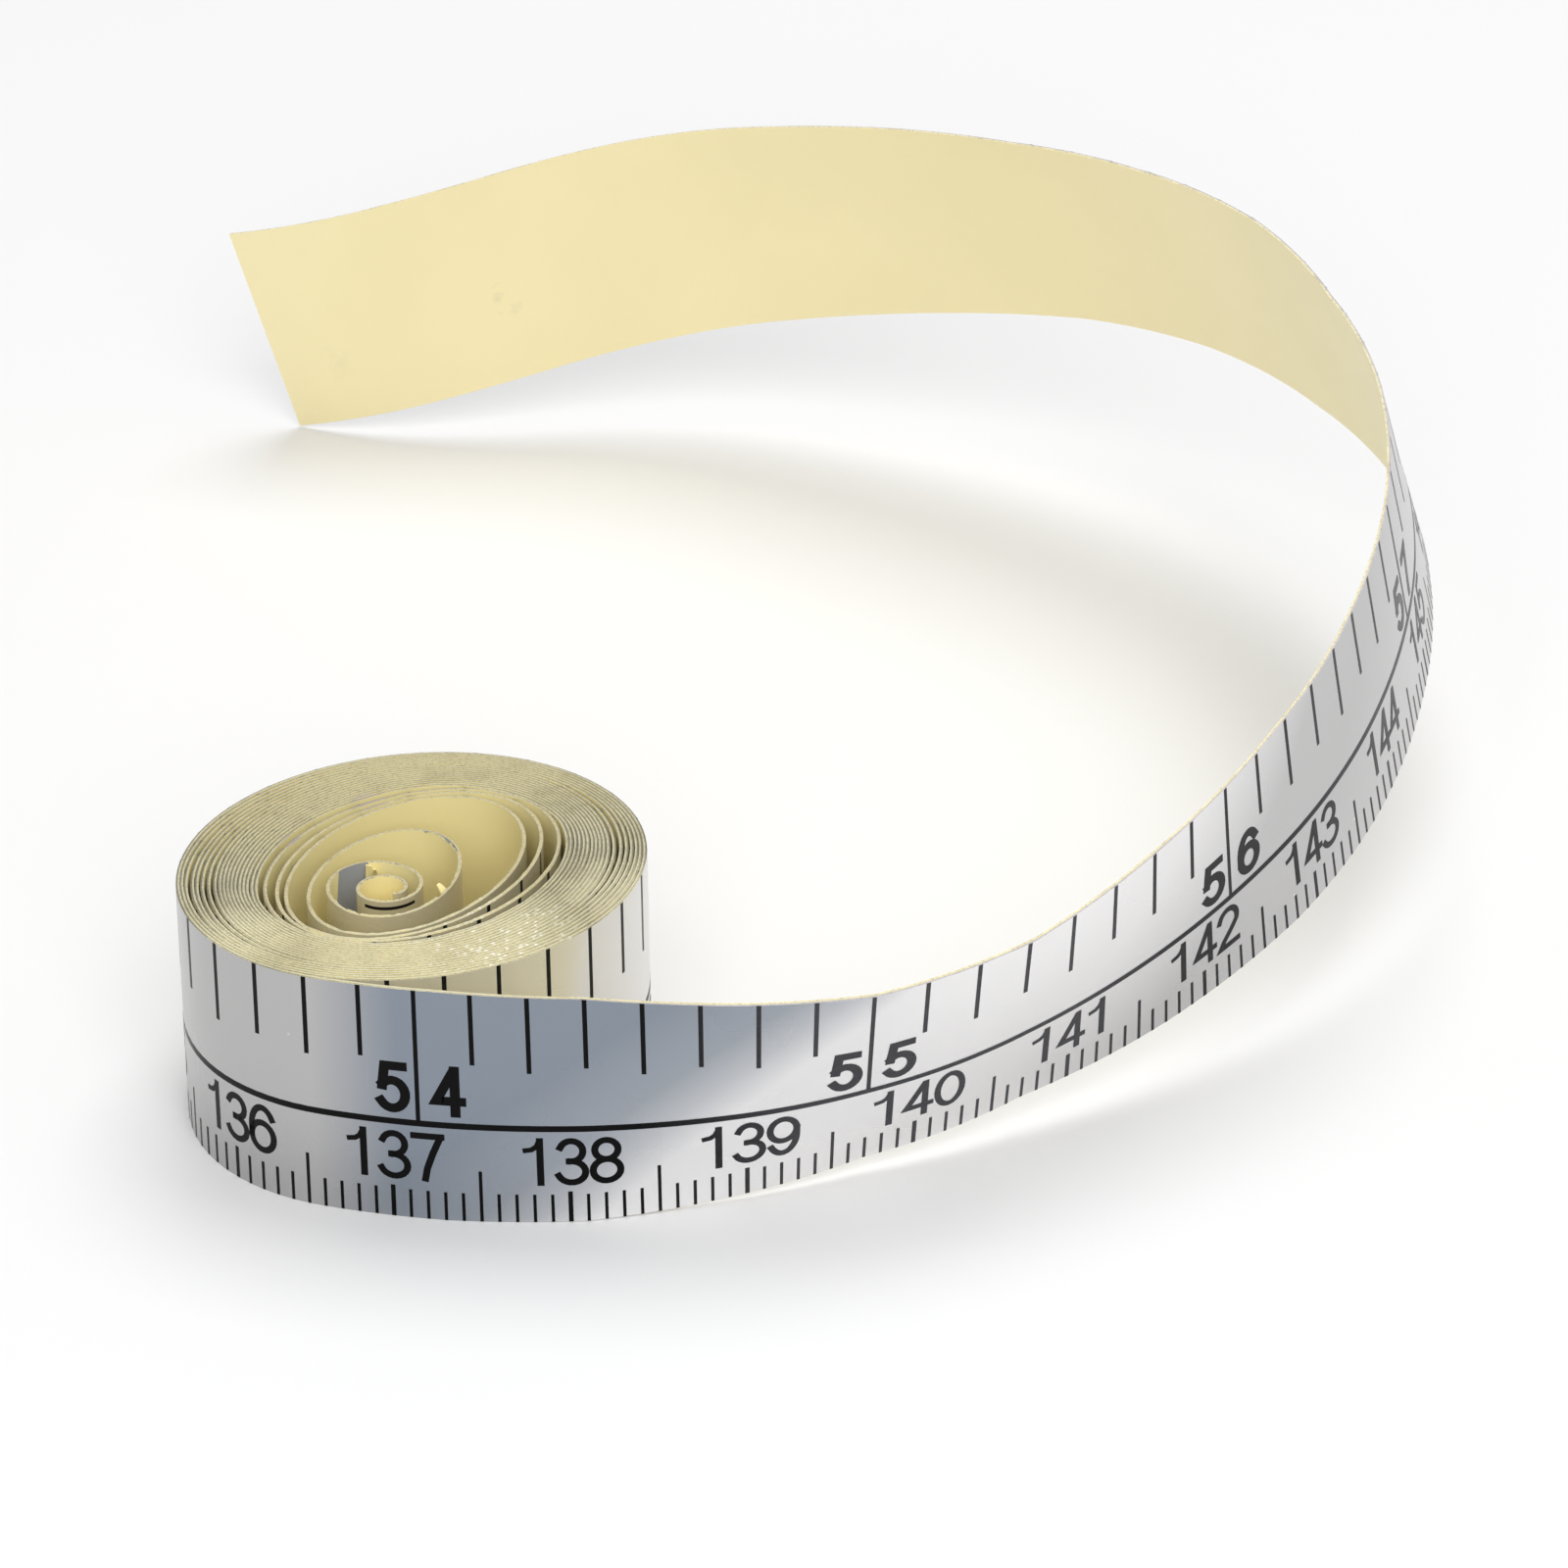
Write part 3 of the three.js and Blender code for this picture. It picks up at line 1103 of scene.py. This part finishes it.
def add_effect(tree, name, **values):
    """An effect's node with its own values; its group is built the first time."""
    node = tree.nodes.new("ShaderNodeGroup")
    node.node_tree = bpy.data.node_groups.get(name) or EFFECTS[name](name)
    fit(tree, node, **values)
    return node.outputs


def tape_run(tree, start, end, slant=0.0):
    return add_effect(tree, "tape_run", Start=start, End=end, Slant=slant)["Share"]


def tape_tones(tree, slant, *stops):
    """A colour that runs through tones at readings along the tape."""
    first = stops[0][0]
    last = stops[-1][0]
    places = [((reading - first) / (last - first), colour) for reading, colour in stops]
    return tones(tree, tape_run(tree, first, last, slant), *places)


# The tape's materials


def edge_tone(tree, wound, strip):
    """Colour of a cut edge: cream at the core, darkened in the coil with painted shade between the turns,
    and paler along the strip.
    """
    coil = mix(tree, tape_run(tree, *CREAM_FADES), colours().edge_core, wound)
    # Out from the coil the edge leaves its painted shade for its own paler colour
    return mix(tree, tape_run(tree, *EDGES_LEAVE_PAINTED_SHADE), coil, strip)


def edge_material(name, wound, strip):
    """Cut edge, fibrous and worn, with painted shade in the coil and white specks of painted glint on its
    front.
    """
    material, tree, shader = new_material(name)
    wear_and_glints = add_effect(tree, "edge_wear_and_glints", Colour=edge_tone(tree, wound, strip))
    fit(tree, shader, Base_Color=wear_and_glints["Colour"], Metallic=0.0, Roughness=wear_and_glints["Roughness"])
    add_bump(tree, shader, wear_and_glints["Height"], strength=0.6, distance=0.00005)
    return material


def film_material():
    """Silver film with a soft gloss, a painted reflection along its length, random clouding, small
    scuffs, and its cut edge.
    """
    material, tree, shader = new_material("silver_film")
    film = Vector(colours().film)
    deep = Vector(colours().film_deep)
    # Painted reflection: deep blue-grey where the film opens out of the coil, clearing to silver and
    # fading along the strip, and duller on the coil
    stops = [(reading, deep.lerp(film, share)) for reading, share in PAINTED_REFLECTION_CLEARS]
    stops += [(reading, film * share) for reading, share in PAINTED_REFLECTION_FADES]
    strip = tape_tones(tree, PAINTED_REFLECTION_SLANT, *stops)
    coil = mix(tree, tape_run(tree, *PAINTED_REFLECTION_DULLS), film * WOUND_REFLECTION_SHARE, film * DULL_REFLECTION_SHARE)
    silver = mix(tree, tape_run(tree, *PAINTED_REFLECTION_DEEPENS), coil, strip)
    uneven = add_effect(tree, "surface_variation", Slow_Scale=60.0, Fine_Scale=900.0)
    clouds = tones(tree, uneven["Slow"], (0.1, (0.95, 0.95, 0.96)), (0.9, WHITE))
    scuffs = add_effect(tree, "specks", Scale=260.0, Radius=0.035, Share=0.3)["Mask"]
    scuffed = mix(tree, scuffs, mix(tree, 1.0, silver, clouds, "MULTIPLY"), SCUFF_COLOUR)
    gloss = span(tree, uneven["Slow"], 0.1, 0.9, 0.25, 0.3)
    fit(tree, shader, Base_Color=scuffed, Metallic=0.8, Roughness=gloss, Specular_IOR_Level=0.5)
    return [material, edge_material("film_edge", colours().edge, colours().edge_pale)]


def ink_material():
    """Black ink, paled and deepened by a painted reflection along the strip."""
    material, tree, shader = new_material("scale_ink")
    ink = Vector(colours().ink)
    uneven = add_effect(tree, "surface_variation", Slow_Scale=300.0, Fine_Scale=6000.0)
    # Painted reflection that pales and deepens the ink along the strip
    worn = tape_tones(tree, 0.0, *((reading, ink * share) for reading, share in INK_PAINTED_REFLECTION))
    grain = tones(tree, uneven["Fine"], (0.3, (0.8, 0.8, 0.8)), (0.7, WHITE))
    black = mix(tree, 1.0, worn, grain, "MULTIPLY")
    gloss = span(tree, uneven["Slow"], 0.3, 0.7, 0.2, 0.35)
    fit(tree, shader, Base_Color=black, Metallic=0.0, Roughness=gloss, Specular_IOR_Level=0.1)
    return material


def adhesive_material():
    """Clear tacky coat over the film's grey back, and its cut edge, dark in the coil with dust and
    painted shade between the turns.
    """
    material, tree, shader = new_material("adhesive_coat")
    coat = Vector(colours().adhesive)
    uneven = add_effect(tree, "surface_variation", Slow_Scale=200.0, Fine_Scale=4000.0)
    grey = tones(tree, uneven["Slow"], (0.3, coat * 0.9), (0.7, coat * 1.1))
    gloss = span(tree, uneven["Fine"], 0.3, 0.7, 0.25, 0.5)
    fit(tree, shader, Base_Color=grey, Metallic=0.0, Roughness=gloss)
    edge, edge_tree, edge_shader = new_material("adhesive_edge")
    dust_and_shade = add_effect(edge_tree, "surface_variation", Slow_Scale=700.0, Fine_Scale=3500.0)
    # Dust and painted shade between the turns on the cut edge in the coil
    dusty = tones(edge_tree, dust_and_shade["Slow"], *zip((0.35, 0.65), DUST_AND_SHADE_COLOURS))
    dusty = edge_tone(edge_tree, dusty, colours().edge_pale)
    fit(edge_tree, edge_shader, Base_Color=dusty, Metallic=0.0, Roughness=0.18)
    add_bump(edge_tree, edge_shader, dust_and_shade["Fine"], strength=1.0, distance=0.0001)
    return [material, edge]


def liner_material():
    """Pale yellow coated paper, with painted bounce light inside the coil and painted light along the
    bend, faint stains, and its cut edge.
    """
    made = [bpy.data.materials.get(name) for name in LINER_MATERIALS]
    if all(made):
        return made
    material, tree, shader = new_material(LINER_MATERIALS[0])
    uneven = add_effect(tree, "surface_variation", Slow_Scale=90.0, Fine_Scale=3500.0)
    # Painted bounce light inside the coil, and painted light paling the liner along the bend
    paper = tape_tones(tree, 0.0, *((reading, getattr(colours(), name)) for reading, name in LINER_PAINTED_LIGHT_STOPS))
    clouds = tones(tree, uneven["Slow"], (0.3, (0.96, 0.96, 0.95)), (0.7, WHITE))
    paper = mix(tree, 1.0, paper, clouds, "MULTIPLY")
    blots = span(tree, add_effect(tree, "surface_variation", Fine_Scale=900.0)["Fine"], 0.45, 0.62)
    for place in STAINS:
        share = combine(tree, stain(tree, *place), blots, "MULTIPLY")
        paper = mix(tree, share, paper, STAIN_COLOUR)
    gloss = span(tree, uneven["Fine"], 0.3, 0.7, 0.45, 0.6)
    fit(tree, shader, Base_Color=paper, Metallic=0.0, Roughness=gloss)
    add_bump(tree, shader, uneven["Fine"], strength=0.15, distance=0.00001)
    return [material, edge_material(LINER_MATERIALS[1], colours().liner_edge, colours().liner_edge_pale)]


# Stage

CAMERA_PLACE = Vector((21.03, -402.81, 257.9))
CAMERA_ELEVATION = 30.577
CAMERA_ROLL = -0.844
CAMERA_FOCAL_PIXELS = 8500.0
PHOTO_PIXELS = 1600.0
SENSOR_WIDTH = 36.0

# Floor and light, in metres and watts: the floor lies just under the tape, clear of its edges
FLOOR_REACH = 3.0
FLOOR_DROP = 0.00002
ROOM_STRENGTH = 0.48
LIGHTS = (
    {"name": "front_light", "place": (0.02, -0.55, 0.5), "size": 0.55, "power": 3.1},
    {"name": "top_light", "place": (0.1, 0.25, 0.75), "size": 0.5, "power": 2.85},
)


class AddStage(bpy.types.Operator):
    """Floor, soft lights and camera"""

    bl_idname = "tape.stage"
    bl_label = "Stage"

    def execute(self, context):
        add_floor()
        add_lights()
        add_camera()
        context.scene.view_settings.view_transform = "Standard"
        return {"FINISHED"}


def add_floor():
    bm = bmesh.new()
    bmesh.ops.create_grid(bm, x_segments=1, y_segments=1, size=FLOOR_REACH)
    bmesh.ops.translate(bm, verts=bm.verts, vec=(0.0, 0.0, -FLOOR_DROP))
    material, tree, shader = new_material("pale_floor")
    fit(tree, shader, Base_Color=colours().floor, Roughness=0.9)
    floor = finish_piece("floor", bm, [material])
    floor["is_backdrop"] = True


def add_lights():
    world = bpy.data.worlds.new("soft_room")
    world.use_nodes = True
    fit(world.node_tree, world.node_tree.nodes["Background"], Color=WHITE, Strength=ROOM_STRENGTH)
    bpy.context.scene.world = world
    for facts in LIGHTS:
        data = bpy.data.lights.new(facts["name"], "AREA")
        data.size = facts["size"]
        data.energy = facts["power"]
        light = bpy.data.objects.new(facts["name"], data)
        light.location = facts["place"]
        light.rotation_euler = (-light.location).to_track_quat("-Z", "Y").to_euler()
        bpy.context.scene.collection.objects.link(light)


def add_camera():
    data = bpy.data.cameras.new("photo_camera")
    data.sensor_width = SENSOR_WIDTH
    data.lens = data.sensor_width * CAMERA_FOCAL_PIXELS / PHOTO_PIXELS
    camera = bpy.data.objects.new("photo_camera", data)
    place = Matrix.Translation((CAMERA_PLACE + COIL_AXIS) * MM)
    tilt = Matrix.Rotation(math.radians(90 - CAMERA_ELEVATION), 4, "X")
    camera.matrix_world = place @ tilt @ Matrix.Rotation(math.radians(CAMERA_ROLL), 4, "Z")
    bpy.context.scene.collection.objects.link(camera)
    bpy.context.scene.camera = camera


class TapePanel(bpy.types.Panel):
    """Lists the tape measure's pieces"""

    bl_idname = "VIEW3D_PT_tape_measure"
    bl_label = "Tape Measure"
    bl_space_type = "VIEW_3D"
    bl_region_type = "UI"
    bl_category = "Tape Measure"

    def draw(self, context):
        for group in (sizes(), scale_sizes(), colours()):
            for name in group.__annotations__:
                self.layout.prop(group, name)
        for operator in PIECES:
            self.layout.operator(operator.bl_idname)


PIECES = (AddFilm, AddAdhesive, AddLiner, AddScraps, AddPrint, AddStage)
GROUPS = {"tape_sizes": TapeSizes, "tape_scale": ScaleSizes, "tape_colours": TapeColours}
CLASSES = (*GROUPS.values(), *PIECES, TapePanel)


def register():
    for cls in CLASSES:
        bpy.utils.register_class(cls)
    for name, group in GROUPS.items():
        setattr(bpy.types.Scene, name, PointerProperty(type=group))


def unregister():
    for name in GROUPS:
        delattr(bpy.types.Scene, name)
    for cls in reversed(CLASSES):
        bpy.utils.unregister_class(cls)


def main():
    register()
    bpy.ops.tape.film()
    bpy.ops.tape.adhesive()
    bpy.ops.tape.liner()
    bpy.ops.tape.scraps()
    bpy.ops.tape.print()
    bpy.ops.tape.stage()
    boxes = {"cad": CAD_BOX, "visual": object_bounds()}
    boxes = {name: [list(corner) for corner in box] for name, box in boxes.items()}


if __name__ == "__main__":
    main()
